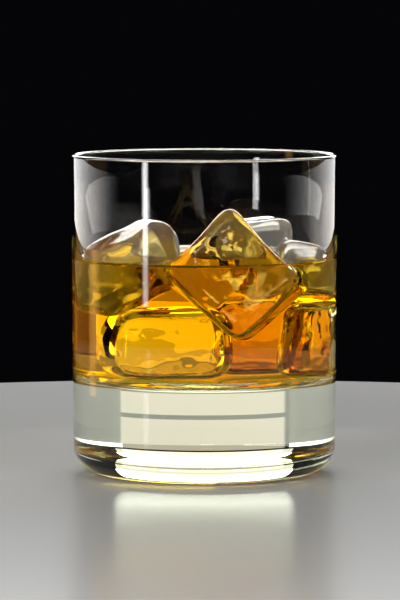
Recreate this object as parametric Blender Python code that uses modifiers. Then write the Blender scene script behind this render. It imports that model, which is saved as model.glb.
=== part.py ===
"""A heavy-based glass tumbler holding whisky with ice cubes floating in it.

The frame has +Z up and its origin under the middle of the glass, on the surface it stands on.
Each sub-part is one object: the glass, the whisky, and each cube that breaks the surface.
"""

import math

import bmesh
import bpy

# All lengths are in metres.
MM = 0.001
CLEARANCE = 0.3 * MM
MERGE = 0.00001
TURN_STEPS = 64

# Outside of the glass
HEIGHT = 98.0 * MM
RIM_RADIUS = 41.0 * MM
HEEL_RADIUS = 40.45 * MM
HEEL_ROUND = 8.0 * MM
FOOT_INNER_RADIUS = 29.0 * MM
UNDERSIDE_RISE = 1.2 * MM

# Inside of the glass
RIM_WALL = 1.6 * MM
CAVITY_RIM_RADIUS = RIM_RADIUS - RIM_WALL
CAVITY_FLOOR_RADIUS = 37.7 * MM
CORNER_ROUND = 6.0 * MM
FLOOR_CENTRE = 27.8 * MM
FLOOR_EDGE = 28.4 * MM

# Drink
LEVEL = 65.5 * MM
MENISCUS_REACH = 2.4 * MM
MENISCUS_RISE = 1.0 * MM

# Ice: an inset panel on each face sinks a little, so that the faces are softly dished.
PANEL_MARGIN = 0.34
PANEL_DEPTH = 0.35 * MM
UNEVEN = 0.45 * MM
EDGE_SEGMENTS = 4
SHARP_ANGLE = math.radians(50)

# Name: centre, width-depth-height, turns about X, Y and Z in degrees, edge rounding
CUBES = {
    "ice_front": ((8.7, -17.0, 61.8), (28.0, 21.0, 31.0), (-12, -43.5, 8), 4.2),
    "ice_left": ((-21.4, -2.7, 63.1), (26.5, 19.5, 23.0), (3, -20, 35), 5.5),
    "ice_left_back": ((-16.4, 21.2, 63.2), (17.0, 14.5, 18.0), (0, -12, -19), 4.5),
    "ice_right_back": ((16.6, 18.0, 65.0), (20.0, 17.0, 23.0), (1, -2, 28), 4.0),
    "ice_right": ((28.5, 2.8, 62.9), (14.5, 14.0, 16.0), (0, 13, 13), 3.5),
}

GLASS_COLOUR = (0.93, 0.95, 0.94, 1.0)
WHISKY_COLOUR = (0.72, 0.30, 0.03, 1.0)
ICE_COLOUR = (0.90, 0.93, 0.95, 1.0)


def clear_scene():
    """Remove whatever the start-up file holds."""
    for thing in list(bpy.data.objects):
        bpy.data.objects.remove(thing, do_unlink=True)


def make_collection(name):
    """Return a new collection linked to the scene."""
    collection = bpy.data.collections.new(name)
    bpy.context.scene.collection.children.link(collection)
    return collection


def clear_material(name, colour, roughness, ior):
    """Return a transmitting material with the given colour, roughness and refraction."""
    material = bpy.data.materials.new(name)
    material.use_nodes = True
    material.diffuse_color = colour
    shader = material.node_tree.nodes["Principled BSDF"]
    shader.inputs["Base Color"].default_value = colour
    shader.inputs["Metallic"].default_value = 0.0
    shader.inputs["Roughness"].default_value = roughness
    shader.inputs["IOR"].default_value = ior
    shader.inputs["Transmission Weight"].default_value = 1.0
    return material


def arc(centre_x, centre_z, radius, start, end, segments):
    """Return points along an arc, from start to end degrees."""
    points = []
    for step in range(segments + 1):
        angle = math.radians(start + (end - start) * step / segments)
        points.append((centre_x + radius * math.cos(angle), centre_z + radius * math.sin(angle)))
    return points


def cavity_radius(height):
    """Return the radius of the straight inner wall at a height above the base."""
    low = FLOOR_EDGE + CORNER_ROUND
    share = (height - low) / (HEIGHT - RIM_WALL / 2 - low)
    return CAVITY_FLOOR_RADIUS + (CAVITY_RIM_RADIUS - CAVITY_FLOOR_RADIUS) * share


def cavity_profile(inset):
    """Return the floor and its rounded corner, from the axis out to the wall, moved in by inset."""
    corner_x = CAVITY_FLOOR_RADIUS - CORNER_ROUND
    corner_z = FLOOR_EDGE + CORNER_ROUND
    halfway = (FLOOR_CENTRE * 3 + FLOOR_EDGE) / 4
    points = [(0.0, FLOOR_CENTRE + inset), (corner_x / 2, halfway + inset)]
    points += arc(corner_x, corner_z, CORNER_ROUND - inset, -90, 0, 5)
    return points


def underside_profile():
    """Return the flat foot and the hollow inside it, from the foot's edge to the axis."""
    points = [(FOOT_INNER_RADIUS, 0.0)]
    for share in (0.82, 0.5, 0.0):
        rise = UNDERSIDE_RISE * (1 - share * share)
        points.append((FOOT_INNER_RADIUS * share, rise))
    return points


def turned_object(name, profile, collection, material):
    """Turn a profile in the XZ plane once round the Z axis into a closed body."""
    mesh = bpy.data.meshes.new(name)
    shape = bmesh.new()
    verts = [shape.verts.new((x, 0.0, z)) for x, z in profile]
    for first, second in zip(verts, verts[1:]):
        shape.edges.new((first, second))
    shape.to_mesh(mesh)
    shape.free()
    thing = bpy.data.objects.new(name, mesh)
    collection.objects.link(thing)
    screw = thing.modifiers.new("Turn", "SCREW")
    screw.axis = "Z"
    screw.angle = math.tau
    screw.steps = TURN_STEPS
    screw.render_steps = TURN_STEPS
    screw.use_merge_vertices = True
    screw.merge_threshold = MERGE
    screw.use_smooth_shade = True
    mesh.materials.append(material)
    return thing


def make_glass(collection):
    """Make the tumbler: a thin straight wall on a thick base with a rounded heel."""
    lip = RIM_WALL / 2
    lip_z = HEIGHT - lip
    profile = cavity_profile(0.0)
    profile.append((cavity_radius(LEVEL), LEVEL))
    profile += arc(RIM_RADIUS - lip, lip_z, lip, 180, 0, 6)
    profile.append(((RIM_RADIUS + HEEL_RADIUS) / 2, HEIGHT / 2))
    profile += arc(HEEL_RADIUS - HEEL_ROUND, HEEL_ROUND, HEEL_ROUND, 0, -90, 6)
    profile += underside_profile()
    material = clear_material("glass", GLASS_COLOUR, 0.02, 1.5)
    return turned_object("glass", profile, collection, material)


def make_whisky(collection):
    """Make the drink as a solid from the floor of the glass up to its level."""
    edge = cavity_radius(LEVEL + MENISCUS_RISE) - CLEARANCE
    profile = cavity_profile(CLEARANCE)
    profile.append((cavity_radius(LEVEL) - CLEARANCE, LEVEL))
    for share in (1.0, 0.62, 0.3, 0.0):
        profile.append((edge - MENISCUS_REACH * (1 - share), LEVEL + MENISCUS_RISE * share ** 2.2))
    profile.append((edge / 2, LEVEL))
    profile.append((0.0, LEVEL))
    material = clear_material("whisky", WHISKY_COLOUR, 0.0, 1.36)
    return turned_object("whisky", profile[::-1], collection, material)


def uneven(seed, corner, axis):
    """Return a fixed small shift for one corner of a cube, from -1 to 1."""
    return math.sin(12.9 * seed + 78.2 * corner + 37.7 * axis)


def cube_mesh(name, size, seed, growth):
    """Return a block with uneven corners and softly dished faces, grown all round by growth."""
    mesh = bpy.data.meshes.new(name)
    shape = bmesh.new()
    bmesh.ops.create_cube(shape, size=1.0)
    for corner, vert in enumerate(shape.verts):
        for axis in range(3):
            side = math.copysign(1.0, vert.co[axis])
            half = size[axis] * MM / 2 + UNEVEN * uneven(seed, corner, axis)
            vert.co[axis] = side * (half + growth)
    margin = PANEL_MARGIN * min(size) * MM
    bmesh.ops.inset_individual(shape, faces=shape.faces[:], thickness=margin, depth=-PANEL_DEPTH)
    shape.to_mesh(mesh)
    shape.free()
    return mesh


def cube_object(name, cube, seed, growth, collection):
    """Place one rounded cube, turned as it floats."""
    centre, size, turn, rounding = cube
    thing = bpy.data.objects.new(name, cube_mesh(name, size, seed, growth))
    collection.objects.link(thing)
    thing.location = [value * MM for value in centre]
    thing.rotation_euler = [math.radians(value) for value in turn]
    bevel = thing.modifiers.new("Melted edges", "BEVEL")
    bevel.width = rounding * MM + growth
    bevel.segments = EDGE_SEGMENTS
    bevel.limit_method = "ANGLE"
    bevel.angle_limit = SHARP_ANGLE
    split = thing.modifiers.new("Flat facets", "TRIANGULATE")
    split.quad_method = "FIXED"
    thing.data.shade_smooth()
    return thing


def make_ice(collection, cutters, whisky):
    """Make the floating cubes, and cut the space for each out of the whisky."""
    material = clear_material("ice", ICE_COLOUR, 0.05, 1.31)
    for seed, (name, cube) in enumerate(CUBES.items()):
        thing = cube_object(name, cube, seed, 0.0, collection)
        thing.data.materials.append(material)
        cutter = cube_object(name + "_space", cube, seed, CLEARANCE, cutters)
        cutter.hide_render = True
        cutter.display_type = "WIRE"
        cut = whisky.modifiers.new("Space for " + name, "BOOLEAN")
        cut.operation = "DIFFERENCE"
        cut.solver = "MANIFOLD"
        cut.object = cutter


def main():
    """Build the glass of whisky."""
    clear_scene()
    parts = make_collection("glass_of_whisky")
    cutters = make_collection("ice_spaces")
    root = bpy.data.objects.new("glass_of_whisky_root", None)
    parts.objects.link(root)
    glass = make_glass(parts)
    whisky = make_whisky(parts)
    make_ice(parts, cutters, whisky)
    for thing in parts.objects:
        if thing is not root:
            thing.parent = root


main()
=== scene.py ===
"""A tumbler of whisky with ice cubes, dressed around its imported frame.

Lengths are in metres. The glass, the drink and the ice are modelled as smooth pieces of the same form as
the frame's faceted solids, and the cubes that are wholly sunk in the drink are added here.
"""

import logging
import math
from dataclasses import dataclass
from enum import Enum

import bpy
from mathutils import Euler, Matrix, Vector

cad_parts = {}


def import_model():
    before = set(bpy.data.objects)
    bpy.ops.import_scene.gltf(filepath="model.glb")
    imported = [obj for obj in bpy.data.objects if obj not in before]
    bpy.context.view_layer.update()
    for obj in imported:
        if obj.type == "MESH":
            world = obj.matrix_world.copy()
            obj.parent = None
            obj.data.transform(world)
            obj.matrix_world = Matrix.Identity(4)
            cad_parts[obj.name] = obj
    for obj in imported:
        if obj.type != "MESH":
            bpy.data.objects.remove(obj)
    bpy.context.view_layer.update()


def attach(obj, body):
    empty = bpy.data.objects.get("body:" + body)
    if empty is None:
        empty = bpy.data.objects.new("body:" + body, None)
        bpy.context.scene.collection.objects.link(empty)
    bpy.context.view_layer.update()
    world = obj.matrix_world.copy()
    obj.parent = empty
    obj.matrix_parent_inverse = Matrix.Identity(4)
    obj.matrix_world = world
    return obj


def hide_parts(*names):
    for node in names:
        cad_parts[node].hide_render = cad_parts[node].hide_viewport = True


log = logging.getLogger("glass_of_whisky")

MM = 0.001
BODY = "root"

# Points that are closer than this become one.
MERGE = 1e-7

Pair = tuple[float, float]
Triple = tuple[float, float, float]

WHITE = (1.0, 1.0, 1.0)
WARM = (1.0, 0.96, 0.80)
CREAM = (1.0, 0.87, 0.80)
GOLD = (1.0, 0.55, 0.12)

# The node group that waves a surface: its name, its two inputs and how finely its noise is broken.
RIPPLE_GROUP = "fine_ripple"
RIPPLE_COUNT = "Waves to a Metre"
RIPPLE_DEPTH = "Depth"
RIPPLE_DETAIL = 2.0

# What a cube's seed, a corner and an axis each add to the angle that scatters the corner's shift.
SEED_STEP = 12.9
CORNER_STEP = 78.2
AXIS_STEP = 37.7


def deselect_all() -> None:
    """Leave object mode with nothing selected."""
    if bpy.context.object and bpy.context.object.mode != "OBJECT":
        bpy.ops.object.mode_set(mode="OBJECT")
    bpy.ops.object.select_all(action="DESELECT")


def make_active(thing: bpy.types.Object) -> None:
    """Select one object alone and make it the active one.

    Args:
        thing: The object.
    """
    deselect_all()
    thing.select_set(True)
    bpy.context.view_layer.objects.active = thing


def apply_modifier(thing: bpy.types.Object, name: str) -> None:
    """Apply one of an object's modifiers."""
    make_active(thing)
    bpy.ops.object.modifier_apply(modifier=name)


def arc(centre: Pair, radius: float, start: float, end: float, segments: int) -> list[Pair]:
    """Work out points along an arc.

    Args:
        centre: The arc's centre, out from the axis and up.
        radius: The arc's radius.
        start: The first point's angle, in degrees from outwards.
        end: The last point's angle, in degrees.
        segments: How many straight steps the arc has.

    Returns:
        The points, from start to end.
    """
    points = []
    for step in range(segments + 1):
        angle = math.radians(start + (end - start) * step / segments)
        points.append((centre[0] + radius * math.cos(angle), centre[1] + radius * math.sin(angle)))
    return points


def turn_profile(name: str, profile: list[Pair], steps: int) -> bpy.types.Object:
    """Draw a profile by extruding one vertex, and spin it round the Z axis.

    Args:
        name: The new object's name.
        profile: Points out from the axis and up, from axis to axis.
        steps: How many steps the spin takes.

    Returns:
        A closed, smooth, turned mesh object.
    """
    deselect_all()
    bpy.ops.mesh.primitive_plane_add(size=MM, location=(0, 0, 0))
    thing = bpy.context.object
    thing.name = name
    thing.data.name = name
    bpy.ops.object.mode_set(mode="EDIT")
    bpy.ops.mesh.select_all(action="SELECT")
    bpy.ops.mesh.merge(type="CENTER")
    last = profile[0]
    bpy.ops.transform.translate(value=(last[0], 0, last[1]))
    for point in profile[1:]:
        move = (point[0] - last[0], 0, point[1] - last[1])
        bpy.ops.mesh.extrude_vertices_move(TRANSFORM_OT_translate={"value": move})
        last = point
    bpy.ops.mesh.select_all(action="SELECT")
    bpy.ops.mesh.spin(steps=steps, angle=math.tau, center=(0, 0, 0), axis=(0, 0, 1))
    bpy.ops.mesh.select_all(action="SELECT")
    bpy.ops.mesh.remove_doubles(threshold=MERGE)
    bpy.ops.mesh.normals_make_consistent(inside=False)
    bpy.ops.object.mode_set(mode="OBJECT")
    bpy.ops.object.shade_smooth()
    return thing


def ripple_group() -> bpy.types.NodeTree:
    """Give the one node group that waves a surface, and build it the first time.

    Returns:
        The group, which turns a count of waves to a metre and their depth into a normal.
    """
    made = bpy.data.node_groups.get(RIPPLE_GROUP)
    return made if made else build_ripple_group()


def build_ripple_group() -> bpy.types.NodeTree:
    """Build the node group that waves a surface with a bump read from noise.

    Returns:
        The new group.
    """
    group = bpy.data.node_groups.new(RIPPLE_GROUP, "ShaderNodeTree")
    group.interface.new_socket(RIPPLE_COUNT, in_out="INPUT", socket_type="NodeSocketFloat")
    group.interface.new_socket(RIPPLE_DEPTH, in_out="INPUT", socket_type="NodeSocketFloat")
    group.interface.new_socket("Normal", in_out="OUTPUT", socket_type="NodeSocketVector")
    values = group.nodes.new("NodeGroupInput")
    result = group.nodes.new("NodeGroupOutput")
    place = group.nodes.new("ShaderNodeTexCoord")
    waves = group.nodes.new("ShaderNodeTexNoise")
    waves.inputs["Detail"].default_value = RIPPLE_DETAIL
    bump = group.nodes.new("ShaderNodeBump")
    group.links.new(place.outputs["Object"], waves.inputs["Vector"])
    group.links.new(values.outputs[RIPPLE_COUNT], waves.inputs["Scale"])
    group.links.new(values.outputs[RIPPLE_DEPTH], bump.inputs["Distance"])
    group.links.new(waves.outputs["Fac"], bump.inputs["Height"])
    group.links.new(bump.outputs["Normal"], result.inputs["Normal"])
    return group


@dataclass(frozen=True)
class ClearFinish:
    """A clear, transmitting finish.

    Attributes:
        name: The material's name.
        ior: How strongly it refracts.
        absorb_colour: The colour that is left after light crosses its body, or None.
        absorb_density: How strongly its body absorbs, for each metre.
        ripple_count: How many small waves there are to a metre, or 0 for none.
        ripple_depth: How deep the waves are.
        clearness: How much of the light passes and isn't scattered white.
        colour: The tint of light that passes a surface.
        roughness: How rough its surface is.
    """

    name: str
    ior: float
    absorb_colour: Triple | None = None
    absorb_density: float = 0.0
    ripple_count: float = 0.0
    ripple_depth: float = 0.0
    clearness: float = 1.0
    colour: Triple = WHITE
    roughness: float = 0.0

    def material(self) -> bpy.types.Material:
        """Give the finish's one material, and make it the first time.

        Returns:
            The material.
        """
        made = bpy.data.materials.get(self.name)
        return made if made else self.make()

    def make(self) -> bpy.types.Material:
        """Make the material.

        Returns:
            The new material.
        """
        material = bpy.data.materials.new(self.name)
        material.use_nodes = True
        tree = material.node_tree
        shader = tree.nodes["Principled BSDF"]
        shader.inputs["Base Color"].default_value = (*self.colour, 1.0)
        shader.inputs["Metallic"].default_value = 0.0
        shader.inputs["Roughness"].default_value = self.roughness
        shader.inputs["IOR"].default_value = self.ior
        shader.inputs["Transmission Weight"].default_value = self.clearness
        if self.absorb_colour:
            self.add_absorption(tree)
        if self.ripple_count:
            self.add_ripple(tree, shader)
        return material

    def add_absorption(self, tree: bpy.types.NodeTree) -> None:
        """Fill the body with a plain absorbing volume.

        Args:
            tree: The material's nodes.
        """
        volume = tree.nodes.new("ShaderNodeVolumeAbsorption")
        volume.inputs["Color"].default_value = (*self.absorb_colour, 1.0)
        volume.inputs["Density"].default_value = self.absorb_density
        tree.links.new(volume.outputs["Volume"], tree.nodes["Material Output"].inputs["Volume"])

    def add_ripple(self, tree: bpy.types.NodeTree, shader: bpy.types.Node) -> None:
        """Wave the surface with this finish's own count and depth.

        Args:
            tree: The material's nodes.
            shader: The shader that takes the normal.
        """
        ripple = tree.nodes.new("ShaderNodeGroup")
        ripple.node_tree = ripple_group()
        ripple.inputs[RIPPLE_COUNT].default_value = self.ripple_count
        ripple.inputs[RIPPLE_DEPTH].default_value = self.ripple_depth
        tree.links.new(ripple.outputs["Normal"], shader.inputs["Normal"])


class Finish(Enum):
    """The finishes of the glass, the drink and the ice."""

    GLASS = ClearFinish("tumbler_glass", 1.5, absorb_colour=(0.936, 1.0, 0.72), absorb_density=10.0)
    WHISKY = ClearFinish("amber_whisky", 1.36, absorb_colour=(0.975, 0.858, 0.0), absorb_density=120.0)
    CLEAR_ICE = ClearFinish("clear_ice", 1.31, ripple_count=160.0, ripple_depth=0.0002, clearness=0.7)
    SUNK_ICE = ClearFinish("sunk_ice", 1.31, ripple_count=70.0, ripple_depth=0.0026)
    PALE_ICE = ClearFinish(
        "pale_amber_ice",
        1.31,
        absorb_colour=(0.968, 0.836, 0.0),
        absorb_density=60.0,
        ripple_count=160.0,
        ripple_depth=0.0002,
        clearness=0.84,
    )
    AMBER_ICE = ClearFinish(
        "amber_ice",
        1.31,
        absorb_colour=(0.909, 0.745, 0.0),
        absorb_density=110.0,
        ripple_count=100.0,
        ripple_depth=0.0009,
    )
    DEEP_ICE = ClearFinish(
        "deep_amber_ice",
        1.31,
        absorb_colour=(0.909, 0.745, 0.0),
        absorb_density=185.0,
        ripple_count=100.0,
        ripple_depth=0.0009,
    )


@dataclass
class Tumbler:
    """The glass: a thin straight wall on a thick base with a rounded heel.

    Attributes:
        height: From the table to the rim.
        rim_radius: Outer radius at the rim.
        heel_radius: Outer radius just above the heel.
        heel_round: Radius of the rounded heel.
        foot_inner_radius: Inner radius of the ring that it stands on.
        underside_rise: How far the underside is hollowed at its middle.
        rim_wall: Thickness of the wall at the rim.
        cavity_floor_radius: Inner radius just above the inner corner.
        corner_round: Radius of the inner corner.
        floor_centre: Height of the inner floor at the axis.
        floor_edge: Height of the inner floor where the corner starts.
        steps: How many steps go round it.
        floor_steps: How many steps the inner floor and the inner corner each have.
        wall_steps: How many steps each side of the wall has.
        lip_steps: How many steps the lip has.
        heel_steps: How many steps the heel has.
        underside_steps: How many steps the underside has.
    """

    height: float = 98.0 * MM
    rim_radius: float = 41.0 * MM
    heel_radius: float = 40.45 * MM
    heel_round: float = 8.0 * MM
    foot_inner_radius: float = 29.0 * MM
    underside_rise: float = 1.2 * MM
    rim_wall: float = 1.6 * MM
    cavity_floor_radius: float = 37.7 * MM
    corner_round: float = 6.0 * MM
    floor_centre: float = 27.8 * MM
    floor_edge: float = 28.4 * MM
    steps: int = 192
    floor_steps: int = 10
    wall_steps: int = 8
    lip_steps: int = 12
    heel_steps: int = 16
    underside_steps: int = 8

    def cavity_radius(self, height: float) -> float:
        """Give the radius of the straight inner wall.

        Args:
            height: How high above the table it is asked for.

        Returns:
            The radius there.
        """
        low = self.floor_edge + self.corner_round
        share = (height - low) / (self.height - self.rim_wall / 2 - low)
        rim = self.rim_radius - self.rim_wall
        return self.cavity_floor_radius + (rim - self.cavity_floor_radius) * share

    def floor_height(self, radius: float) -> float:
        """Give the height of the gently dished inner floor at a radius."""
        share = min(radius / (self.cavity_floor_radius - self.corner_round), 1.0)
        return self.floor_centre + (self.floor_edge - self.floor_centre) * share * share

    def cavity_profile(self, outset: float) -> list[Pair]:
        """Work out the inner floor and corner.

        Args:
            outset: How far the profile is moved out, into the glass.

        Returns:
            Points from the axis out to the foot of the straight wall.
        """
        corner_x = self.cavity_floor_radius - self.corner_round
        corner_z = self.floor_edge + self.corner_round
        points = []
        for step in range(self.floor_steps):
            radius = corner_x * step / self.floor_steps
            points.append((radius, self.floor_height(radius) - outset))
        return points + arc((corner_x, corner_z), self.corner_round + outset, -90, 0, self.floor_steps)

    def profile(self) -> list[Pair]:
        """Work out the whole outline.

        Returns:
            Points from the inner floor's middle over the rim to the underside's middle.
        """
        lip = self.rim_wall / 2
        lip_z = self.height - lip
        points = self.cavity_profile(0.0)
        low = points[-1][1]
        for step in range(1, self.wall_steps):
            z = low + (lip_z - low) * step / self.wall_steps
            points.append((self.cavity_radius(z), z))
        points += arc((self.rim_radius - lip, lip_z), lip, 180, 0, self.lip_steps)
        for step in range(1, self.wall_steps):
            share = step / self.wall_steps
            z = lip_z + (self.heel_round - lip_z) * share
            points.append((self.rim_radius + (self.heel_radius - self.rim_radius) * share, z))
        heel_centre = (self.heel_radius - self.heel_round, self.heel_round)
        points += arc(heel_centre, self.heel_round, 0, -90, self.heel_steps)
        for step in range(self.underside_steps + 1):
            share = 1 - step / self.underside_steps
            rise = self.underside_rise * (1 - share * share)
            points.append((self.foot_inner_radius * share, rise))
        return points

    def build(self) -> bpy.types.Object:
        """Build and dress the glass.

        Returns:
            The finished piece.
        """
        thing = turn_profile("tumbler", self.profile(), self.steps)
        thing.data.materials.append(Finish.GLASS.value.material())
        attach(thing, BODY)
        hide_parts("glass")
        return thing


@dataclass
class IceCube:
    """A rounded, slightly uneven ice cube.

    Attributes:
        name: The piece's name.
        centre: Where its middle lies, in millimetres.
        size: Its width, depth and height before it is turned, in millimetres.
        turn: Its turns about X, Y and Z, in degrees.
        rounding: The radius of its melted edges, in millimetres.
        seed: Which uneven corners it has.
        finish: Its finish.
        node: The frame's solid that it stands for, or None if it is wholly sunk.
        panel_margin: The rim round each dished face, as a share of the cube's least side.
        panel_depth: How far each face is dished.
        uneven_by: How far its corners are shifted at most.
        sharp_angle: The least angle between faces that makes an edge melt round.
        edge_segments: How many steps its melted edges have.
        smooth_levels: How many times its surface is subdivided.
        melt_size: How large its melt hollows are.
        melt_depth: How deep its melt hollows are.
    """

    name: str
    centre: Triple
    size: Triple
    turn: Triple
    rounding: float
    seed: int
    finish: Finish
    node: str | None = None
    panel_margin: float = 0.34
    panel_depth: float = 0.35 * MM
    uneven_by: float = 0.45 * MM
    sharp_angle: float = math.radians(50)
    edge_segments: int = 6
    smooth_levels: int = 2
    melt_size: float = 11.0 * MM
    melt_depth: float = 1.3 * MM

    def uneven(self, corner: int, axis: int) -> float:
        """Give a fixed small shift for one corner, from -1 to 1."""
        return math.sin(SEED_STEP * self.seed + CORNER_STEP * corner + AXIS_STEP * axis)

    def block(self, name: str, growth: float) -> bpy.types.Object:
        """Model the rounded block at its place.

        Args:
            name: The new object's name.
            growth: How far it is grown all round.

        Returns:
            The block, with its place in its mesh.
        """
        deselect_all()
        bpy.ops.mesh.primitive_cube_add(size=1.0)
        thing = bpy.context.object
        thing.name = name
        thing.data.name = name
        for corner, vert in enumerate(thing.data.vertices):
            for axis in range(3):
                side = math.copysign(1.0, vert.co[axis])
                half = self.size[axis] * MM / 2 + self.uneven_by * self.uneven(corner, axis)
                vert.co[axis] = side * (half + growth)
        bpy.ops.object.mode_set(mode="EDIT")
        bpy.ops.mesh.select_all(action="SELECT")
        margin = self.panel_margin * min(self.size) * MM
        bpy.ops.mesh.inset(thickness=margin, depth=-self.panel_depth, use_individual=True)
        bpy.ops.object.mode_set(mode="OBJECT")
        bevel = thing.modifiers.new("Melted edges", "BEVEL")
        bevel.width = self.rounding * MM + growth
        bevel.segments = self.edge_segments
        bevel.limit_method = "ANGLE"
        bevel.angle_limit = self.sharp_angle
        apply_modifier(thing, bevel.name)
        smooth = thing.modifiers.new("Smooth ice", "SUBSURF")
        smooth.levels = self.smooth_levels
        smooth.render_levels = self.smooth_levels
        apply_modifier(thing, smooth.name)
        turn = Euler([math.radians(value) for value in self.turn]).to_matrix().to_4x4()
        thing.data.transform(Matrix.Translation(Vector(self.centre) * MM) @ turn)
        self.melt(thing)
        make_active(thing)
        bpy.ops.object.shade_smooth()
        return thing

    def melt(self, thing: bpy.types.Object) -> None:
        """Press soft, shallow melt hollows into the block.

        Args:
            thing: The block, at its place.
        """
        texture = bpy.data.textures.new("melt", "CLOUDS")
        texture.noise_scale = self.melt_size
        texture.noise_depth = 0
        hollows = thing.modifiers.new("Melt hollows", "DISPLACE")
        hollows.texture = texture
        hollows.texture_coords = "LOCAL"
        hollows.strength = self.melt_depth
        hollows.mid_level = 0.5
        apply_modifier(thing, hollows.name)
        bpy.data.textures.remove(texture)

    def build(self) -> bpy.types.Object:
        """Build and dress the cube.

        Returns:
            The finished piece.
        """
        thing = self.block(self.name, 0.0)
        thing.data.materials.append(self.finish.value.material())
        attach(thing, BODY)
        if self.node:
            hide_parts(self.node)
        return thing


# The first five break the surface, and the last three are wholly sunk.
CUBES: list[IceCube] = [
    IceCube(
        "cube_front",
        centre=(8.7, -17.0, 61.8),
        size=(28.0, 21.0, 31.0),
        turn=(-12, -43.5, 8),
        rounding=4.2,
        seed=0,
        finish=Finish.AMBER_ICE,
        node="ice_front",
    ),
    IceCube(
        "cube_left",
        centre=(-21.4, -2.7, 63.1),
        size=(26.5, 19.5, 23.0),
        turn=(3, -20, 35),
        rounding=5.5,
        seed=1,
        finish=Finish.PALE_ICE,
        node="ice_left",
    ),
    IceCube(
        "cube_left_back",
        centre=(-16.4, 21.2, 63.2),
        size=(17.0, 14.5, 18.0),
        turn=(0, -12, -19),
        rounding=4.5,
        seed=2,
        finish=Finish.CLEAR_ICE,
        node="ice_left_back",
    ),
    IceCube(
        "cube_right_back",
        centre=(16.6, 18.0, 65.0),
        size=(20.0, 17.0, 23.0),
        turn=(1, -2, 28),
        rounding=4.0,
        seed=3,
        finish=Finish.CLEAR_ICE,
        node="ice_right_back",
    ),
    IceCube(
        "cube_right",
        centre=(28.5, 2.8, 62.9),
        size=(14.5, 14.0, 16.0),
        turn=(0, 13, 13),
        rounding=3.5,
        seed=4,
        finish=Finish.CLEAR_ICE,
        node="ice_right",
    ),
    IceCube(
        "cube_sunk_left",
        centre=(-8.6, -0.9, 39.9),
        size=(30.0, 23.0, 23.0),
        turn=(0, 0, 5),
        rounding=8.0,
        seed=5,
        finish=Finish.SUNK_ICE,
    ),
    IceCube(
        "cube_sunk_back",
        centre=(10.9, 21.0, 41.1),
        size=(18.0, 18.0, 24.0),
        turn=(0, 0, 4),
        rounding=4.5,
        seed=6,
        finish=Finish.DEEP_ICE,
    ),
    IceCube(
        "cube_sunk_right",
        centre=(27.1, 1.0, 41.0),
        size=(18.0, 19.5, 24.0),
        turn=(0, 3, -5),
        rounding=5.0,
        seed=7,
        finish=Finish.DEEP_ICE,
    ),
]


@dataclass
class Drink:
    """The whisky, which reaches just into the wall of the glass.

    Attributes:
        tumbler: The glass that it fills.
        level: Height of its surface.
        meniscus_reach: How far from the wall its edge starts to climb.
        meniscus_rise: How far its edge climbs.
        meniscus_power: How late and steeply its edge climbs.
        into_wall: How far it reaches into the glass.
        ice_gap: How much larger than each cube its hollow is.
        crease_angle: The least angle between faces that leaves its surface creased.
        steps: How many steps go round it.
        wall_steps: How many steps its side has.
        meniscus_steps: How many steps its climbing edge has.
        surface_steps: How many steps its level surface has.
    """

    tumbler: Tumbler
    level: float = 65.5 * MM
    meniscus_reach: float = 2.4 * MM
    meniscus_rise: float = 1.0 * MM
    meniscus_power: float = 2.2
    into_wall: float = 0.12 * MM
    ice_gap: float = 0.25 * MM
    crease_angle: float = math.radians(40)
    steps: int = 192
    wall_steps: int = 6
    meniscus_steps: int = 12
    surface_steps: int = 8

    def profile(self) -> list[Pair]:
        """Work out the outline.

        Returns:
            Points from the floor's middle to the surface's middle.
        """
        points = self.tumbler.cavity_profile(self.into_wall)
        low = points[-1][1]
        top = self.level + self.meniscus_rise
        for step in range(1, self.wall_steps + 1):
            z = low + (top - low) * step / self.wall_steps
            points.append((self.tumbler.cavity_radius(z) + self.into_wall, z))
        edge = self.tumbler.cavity_radius(top) - self.into_wall
        for step in range(self.meniscus_steps + 1):
            share = 1 - step / self.meniscus_steps
            radius = edge - self.meniscus_reach * (1 - share)
            points.append((radius, self.level + self.meniscus_rise * share ** self.meniscus_power))
        for step in range(1, self.surface_steps + 1):
            share = 1 - step / self.surface_steps
            points.append(((edge - self.meniscus_reach) * share, self.level))
        return points

    def build(self, cubes: list[IceCube]) -> bpy.types.Object:
        """Build and dress the drink, hollowed for the cubes.

        Args:
            cubes: The cubes that float or lie in it.

        Returns:
            The finished piece.
        """
        thing = turn_profile("whisky_drink", self.profile(), self.steps)
        for cube in cubes:
            space = cube.block("space_" + cube.name, self.ice_gap)
            cut = thing.modifiers.new("Space", "BOOLEAN")
            cut.operation = "DIFFERENCE"
            cut.solver = "MANIFOLD"
            cut.object = space
            apply_modifier(thing, cut.name)
            bpy.data.objects.remove(space)
        make_active(thing)
        bpy.ops.object.shade_smooth_by_angle(angle=self.crease_angle)
        thing.data.materials.clear()
        thing.data.materials.append(Finish.WHISKY.value.material())
        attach(thing, BODY)
        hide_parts("whisky")
        return thing


def area_light(
    name: str, place: Vector, aim: Vector, size: Pair, brightness: float, colour: Triple
) -> bpy.types.Object:
    """Add a rectangular light that the camera doesn't see.

    Args:
        name: The light's name.
        place: Where its middle is.
        aim: What it points at.
        size: Its width and height.
        brightness: Its radiance.
        colour: Its colour.

    Returns:
        The light.
    """
    deselect_all()
    bpy.ops.object.light_add(type="AREA", location=place)
    light = bpy.context.object
    light.name = name
    light.data.shape = "RECTANGLE"
    light.data.size = size[0]
    light.data.size_y = size[1]
    light.data.energy = brightness * math.pi * size[0] * size[1]
    light.data.color = colour
    light.visible_camera = False
    light.rotation_euler = (aim - place).to_track_quat("-Z", "Y").to_euler()
    return light


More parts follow.
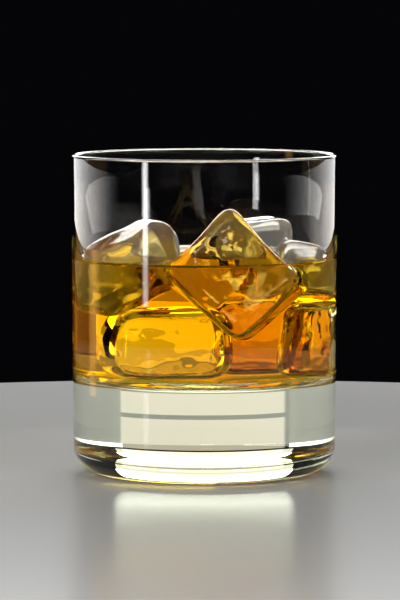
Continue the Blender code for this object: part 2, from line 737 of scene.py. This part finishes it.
@dataclass(frozen=True)
class SoftBox:
    """A soft upright panel of light that stands round the glass and faces it.

    Attributes:
        name: The light's name.
        azimuth: Where it stands, in degrees from straight behind the glass towards its right.
        distance: How far from the glass's axis it stands.
        width: Its width.
        low: Height of its lower edge above the table.
        high: Height of its upper edge.
        brightness: Its radiance.
        colour: Its colour.
        fades: How much of its width is spent fading out at its left and right, seen from the glass.
    """

    name: str
    azimuth: float
    distance: float
    width: float
    low: float
    high: float
    brightness: float
    colour: Triple = WHITE
    fades: Pair = (0.0, 0.0)

    def build(self) -> bpy.types.Object:
        """Stand the panel in its place.

        Returns:
            The light.
        """
        angle = math.radians(self.azimuth)
        height = (self.low + self.high) / 2
        place = Vector((self.distance * math.sin(angle), self.distance * math.cos(angle), height))
        size = (self.width, self.high - self.low)
        light = area_light(self.name, place, Vector((0, 0, height)), size, self.brightness, self.colour)
        if any(self.fades):
            self.add_fades(light.data)
        return light

    def add_fades(self, lamp: bpy.types.AreaLight) -> None:
        """Let the panel's brightness fall off smoothly towards its sides.

        Args:
            lamp: The panel's light data.
        """
        lamp.use_nodes = True
        tree = lamp.node_tree
        across = tree.nodes.new("ShaderNodeNewGeometry")
        split = tree.nodes.new("ShaderNodeSeparateXYZ")
        tree.links.new(across.outputs["Parametric"], split.inputs["Vector"])
        both = tree.nodes.new("ShaderNodeMath")
        both.operation = "MULTIPLY"
        spans = ((1.0, 1.0 - self.fades[0]), (0.0, self.fades[1]))
        for side, (edge, inner) in enumerate(spans):
            both.inputs[side].default_value = 1.0
            if self.fades[side]:
                ramp = tree.nodes.new("ShaderNodeMapRange")
                ramp.interpolation_type = "SMOOTHSTEP"
                ramp.inputs["From Min"].default_value = edge
                ramp.inputs["From Max"].default_value = inner
                tree.links.new(split.outputs["X"], ramp.inputs["Value"])
                tree.links.new(ramp.outputs["Result"], both.inputs[side])
        tree.links.new(both.outputs["Value"], tree.nodes["Emission"].inputs["Strength"])


@dataclass(frozen=True)
class Overhead:
    """A soft square panel of light above the glass, which points at it.

    Attributes:
        name: The light's name.
        place: Where it hangs.
        side: The length of its side.
        brightness: Its radiance.
        colour: Its colour.
        aim_height: Height of the point on the glass's axis that it points at.
    """

    name: str
    place: Triple
    side: float
    brightness: float
    colour: Triple = WHITE
    aim_height: float = 50 * MM

    def build(self) -> bpy.types.Object:
        """Hang the panel in its place.

        Returns:
            The light.
        """
        aim = Vector((0, 0, self.aim_height))
        size = (self.side, self.side)
        return area_light(self.name, Vector(self.place), aim, size, self.brightness, self.colour)


# Soft boxes: name, azimuth, distance, width, lower edge, upper edge, brightness, colour.
# Overhead panels: name, place, side, brightness.
LIGHTS: list[SoftBox | Overhead] = [
    SoftBox("base_card_low", 0.4, 0.09, 0.037, 0.0, 0.0092, 0.53, CREAM, fades=(0.05, 0.05)),
    SoftBox("base_card_high", 0.4, 0.09, 0.037, 0.0106, 0.0175, 0.53, CREAM, fades=(0.05, 0.05)),
    SoftBox("drink_card_low", 0, 0.12, 0.08, 0.0148, 0.030, 1.0, WARM),
    SoftBox("drink_card_middle", 0, 0.12, 0.08, 0.030, 0.044, 1.6, WARM),
    SoftBox("drink_card_high", 0, 0.12, 0.08, 0.044, 0.058, 0.6, WARM),
    SoftBox("drink_card_left", -82, 0.12, 0.03, 0.0148, 0.058, 2.4, GOLD, fades=(0.4, 0.4)),
    SoftBox("back_box", 0, 0.70, 0.80, 0.18, 0.50, 6.2),
    SoftBox("left_wall_box", -64, 1.50, 2.20, -0.043, 0.105, 3.3, fades=(0.85, 0.0)),
    SoftBox("right_wall_box", 60, 1.50, 2.00, -0.043, 0.105, 2.7, fades=(0.0, 0.8)),
    SoftBox("left_low_box", -50, 1.50, 1.30, -0.14, -0.045, 0.22, GOLD),
    SoftBox("right_low_box", 50, 1.50, 1.30, -0.14, -0.045, 0.22, GOLD),
    SoftBox("streak_strip", 230.6, 0.70, 0.09, 0.0145, 0.15, 20.0, fades=(0.4, 0.4)),
    SoftBox("streak_strip_low", 230.6, 0.70, 0.09, -0.01, 0.0145, 9.0, fades=(0.4, 0.4)),
    SoftBox("front_glint", 181, 0.70, 0.05, 0.20, 0.27, 45.0),
    SoftBox("front_box", 200, 0.70, 0.20, 0.20, 0.50, 6.0),
    SoftBox("front_left_box", 235, 0.70, 0.30, 0.20, 0.50, 5.0),
    SoftBox("front_right_box", 135, 0.70, 0.30, 0.20, 0.50, 4.0),
    Overhead("overhead_back", (0.0, 0.40, 0.70), 0.4, 0.5),
    Overhead("overhead_left", (-0.40, 0.0, 0.70), 0.4, 0.45),
    Overhead("overhead_right", (0.40, 0.0, 0.70), 0.4, 0.45),
    Overhead("overhead_front", (0.0, -0.40, 0.70), 0.4, 0.45),
]


@dataclass
class Studio:
    """The camera, the pale floor, the lights and the dim surround.

    Attributes:
        camera_distance: How far in front of the glass's axis the camera stands.
        camera_height: Height of the camera above the table.
        aim: The point that the camera looks at.
        lens: The camera's focal length, in millimetres.
        sensor: The width of its sensor, in millimetres.
        nearest: The least distance that it sees.
        farthest: The greatest distance that it sees.
        floor_radius: Radius of the round floor.
        floor_thickness: Thickness of the floor.
        floor_sides: How many sides the floor's edge has.
        floor_colour: Colour of the floor.
        floor_roughness: How rough the floor's surface is.
        floor_specular: How strongly the floor shines.
        surround: Colour of the surround.
        clear_bounces: How often light may bounce in all, and pass clear surfaces.
        glossy_bounces: How often light may bounce off glossy surfaces, and pass see-through ones.
    """

    camera_distance: float = 1182.5 * MM
    camera_height: float = 151.7 * MM
    aim: Triple = (-1.33 * MM, 0.0, 52.95 * MM)
    lens: float = 230.7
    sensor: float = 36.0
    nearest: float = 0.01
    farthest: float = 20.0
    floor_radius: float = 0.27
    floor_thickness: float = 20 * MM
    floor_sides: int = 256
    floor_colour: Triple = (0.52, 0.515, 0.50)
    floor_roughness: float = 0.24
    floor_specular: float = 0.01
    surround: Triple = (0.0015, 0.0015, 0.002)
    clear_bounces: int = 32
    glossy_bounces: int = 16

    def camera(self) -> None:
        """Place the camera at the picture's viewing angle."""
        deselect_all()
        place = Vector((0.0, -self.camera_distance, self.camera_height))
        bpy.ops.object.camera_add(location=place)
        camera = bpy.context.object
        camera.name = "camera"
        camera.data.lens = self.lens
        camera.data.sensor_width = self.sensor
        camera.data.sensor_fit = "AUTO"
        camera.data.clip_start = self.nearest
        camera.data.clip_end = self.farthest
        camera.rotation_euler = (Vector(self.aim) - place).to_track_quat("-Z", "Y").to_euler()
        bpy.context.scene.camera = camera

    def floor(self) -> None:
        """Lay the round pale floor that the glass stands on."""
        deselect_all()
        bpy.ops.mesh.primitive_cylinder_add(
            vertices=self.floor_sides,
            radius=self.floor_radius,
            depth=self.floor_thickness,
            location=(0, 0, -self.floor_thickness / 2),
        )
        floor = bpy.context.object
        floor.name = "floor"
        material = bpy.data.materials.new("pale_floor")
        material.use_nodes = True
        shader = material.node_tree.nodes["Principled BSDF"]
        shader.inputs["Base Color"].default_value = (*self.floor_colour, 1.0)
        shader.inputs["Roughness"].default_value = self.floor_roughness
        shader.inputs["Specular IOR Level"].default_value = self.floor_specular
        floor.data.materials.append(material)

    def world(self) -> None:
        """Set a dim, even surround and enough light bounces for the clear pieces."""
        scene = bpy.context.scene
        world = bpy.data.worlds.new("surround")
        scene.world = world
        world.use_nodes = True
        world.node_tree.nodes["Background"].inputs["Color"].default_value = (*self.surround, 1.0)
        scene.view_settings.view_transform = "Standard"
        scene.cycles.max_bounces = self.clear_bounces
        scene.cycles.transmission_bounces = self.clear_bounces
        scene.cycles.glossy_bounces = self.glossy_bounces
        scene.cycles.transparent_max_bounces = self.glossy_bounces

    def build(self) -> None:
        """Build the whole studio."""
        self.camera()
        self.floor()
        for light in LIGHTS:
            light.build()
        self.world()


def main() -> None:
    """Build every piece in order and report it."""
    logging.basicConfig(level=logging.INFO, format="%(name)s: %(message)s")
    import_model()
    tumbler = Tumbler()
    glass = tumbler.build()
    log.info("glass: %d faces", len(glass.data.polygons))
    for cube in CUBES:
        piece = cube.build()
        log.info("%s: %d faces", piece.name, len(piece.data.polygons))
    drink = Drink(tumbler).build(CUBES)
    log.info("drink: %d faces", len(drink.data.polygons))
    Studio().build()


if __name__ == "__main__":
    main()
